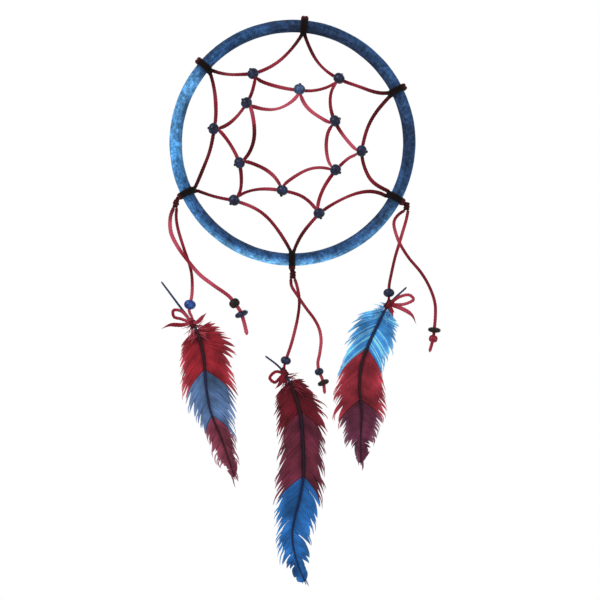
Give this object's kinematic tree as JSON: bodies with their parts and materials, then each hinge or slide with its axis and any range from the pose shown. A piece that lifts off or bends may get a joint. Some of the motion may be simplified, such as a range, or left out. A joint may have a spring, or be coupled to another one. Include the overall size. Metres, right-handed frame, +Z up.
{
  "type": "dream catcher",
  "caption": "Hanging dream catcher: stained round hoop, knotted web of beaded crimson cord, and swinging pendants with dyed feathers and beaded tails.",
  "frame": {"origin": "the highest point of the hoop, where the thread or nail that it hangs from holds it", "axes": "+Z up along the way it hangs, -Y towards the viewer, +X to the right seen from the front"},
  "size_m": [0.1819, 0.019, 0.3687],
  "materials": {
    "hoop_stain": "bent wood stained in uneven washes of blue, grain running lengthwise, soft sheen",
    "cord": "twisted crimson cotton cord with rose and dark strands",
    "dark_cord": "dark crimson cord, tightly wound",
    "bead_navy": "speckled navy bead, smooth and glossy",
    "bead_royal_blue": "speckled royal blue bead, smooth and glossy",
    "bead_brown": "brown-black turned wooden bead, oiled",
    "quill": "dark blue-grey horn of a dyed feather shaft",
    "feather_vane": "dyed feather barbs in three bands, matte with a faint silky sheen"
  },
  "bodies": {
    "frame": {"hoop": "hoop_stain", "web_outer_cord": "cord", "web_middle_cord": "cord", "web_inner_cord": "cord", "web_bead_outer_1": "bead_navy", "web_bead_outer_2": "bead_navy", "web_bead_outer_3": "bead_navy", "web_bead_outer_4": "bead_navy", "web_bead_outer_5": "bead_navy", "web_bead_outer_6": "bead_navy", "web_bead_inner_1": "bead_navy", "web_bead_inner_2": "bead_navy", "web_bead_inner_3": "bead_navy", "web_bead_inner_4": "bead_navy", "web_bead_inner_5": "bead_navy", "web_bead_inner_6": "bead_navy"},
    "left_hitch": {"left_hitch": "dark_cord"},
    "left_feather_strand": {"left_feather_cord": "cord", "left_feather_bead": "bead_royal_blue"},
    "left_feather": {"left_bow": "cord", "left_feather_shaft": "quill", "left_feather_vane_left": "feather_vane", "left_feather_vane_right": "feather_vane"},
    "left_tail_strand": {"left_tail_cord": "cord", "left_tail_bead_upper": "bead_brown", "left_tail_bead_lower": "bead_navy"},
    "centre_hitch": {"centre_hitch": "dark_cord"},
    "centre_feather_strand": {"centre_feather_cord": "cord", "centre_feather_bead": "bead_navy"},
    "centre_feather": {"centre_bow": "cord", "centre_feather_shaft": "quill", "centre_feather_vane_left": "feather_vane", "centre_feather_vane_right": "feather_vane"},
    "centre_tail_strand": {"centre_tail_cord": "cord", "centre_tail_bead_upper": "bead_navy", "centre_tail_bead_lower": "bead_brown"},
    "right_hitch": {"right_hitch": "dark_cord"},
    "right_feather_strand": {"right_feather_cord": "cord", "right_feather_bead": "bead_navy"},
    "right_feather": {"right_bow": "cord", "right_feather_shaft": "quill", "right_feather_vane_left": "feather_vane", "right_feather_vane_right": "feather_vane"},
    "right_tail_strand": {"right_tail_cord": "cord", "right_tail_bead_upper": "bead_brown", "right_tail_bead_lower": "cord"}
  },
  "joints": [
    {"name": "left_pendant_swing", "type": "hinge", "parent": "frame", "child": "left_hitch", "pos_m": [-0.0745, 0, -0.1166], "axis": [1, 0, 0], "range_deg": [-20, 20]},
    {"name": "left_feather_strand_sway", "type": "hinge", "parent": "left_hitch", "child": "left_feather_strand", "pos_m": [-0.0753, 0.0002, -0.1222], "axis": [0, 1, 0], "range_deg": [-6, 6]},
    {"name": "left_feather_sway", "type": "hinge", "parent": "left_feather_strand", "child": "left_feather", "pos_m": [-0.0655, 0.0025, -0.1966], "axis": [0, 1, 0], "range_deg": [-8, 8]},
    {"name": "left_tail_sway", "type": "hinge", "parent": "left_hitch", "child": "left_tail_strand", "pos_m": [-0.0773, -0.0004, -0.1222], "axis": [0, 1, 0], "range_deg": [-7, 7]},
    {"name": "centre_pendant_swing", "type": "hinge", "parent": "frame", "child": "centre_hitch", "pos_m": [0.0002, 0, -0.162], "axis": [1, 0, 0], "range_deg": [-20, 20]},
    {"name": "centre_feather_strand_sway", "type": "hinge", "parent": "centre_hitch", "child": "centre_feather_strand", "pos_m": [0.0015, -0.0003, -0.1684], "axis": [0, 1, 0], "range_deg": [-6, 6]},
    {"name": "centre_feather_sway", "type": "hinge", "parent": "centre_feather_strand", "child": "centre_feather", "pos_m": [-0.0054, -0.0035, -0.2294], "axis": [0, 1, 0], "range_deg": [-10, 10]},
    {"name": "centre_tail_sway", "type": "hinge", "parent": "centre_hitch", "child": "centre_tail_strand", "pos_m": [-0.0011, 0.0003, -0.1684], "axis": [0, 1, 0], "range_deg": [-7, 7]},
    {"name": "right_pendant_swing", "type": "hinge", "parent": "frame", "child": "right_hitch", "pos_m": [0.073, 0, -0.1186], "axis": [1, 0, 0], "range_deg": [-20, 20]},
    {"name": "right_feather_strand_sway", "type": "hinge", "parent": "right_hitch", "child": "right_feather_strand", "pos_m": [0.0752, 0.0003, -0.1238], "axis": [0, 1, 0], "range_deg": [-6, 6]},
    {"name": "right_feather_sway", "type": "hinge", "parent": "right_feather_strand", "child": "right_feather", "pos_m": [0.0629, 0.0025, -0.1853], "axis": [0, 1, 0], "range_deg": [-10, 10]},
    {"name": "right_tail_sway", "type": "hinge", "parent": "right_hitch", "child": "right_tail_strand", "pos_m": [0.0728, -0.0003, -0.1238], "axis": [0, 1, 0], "range_deg": [-7, 7]}
  ]
}
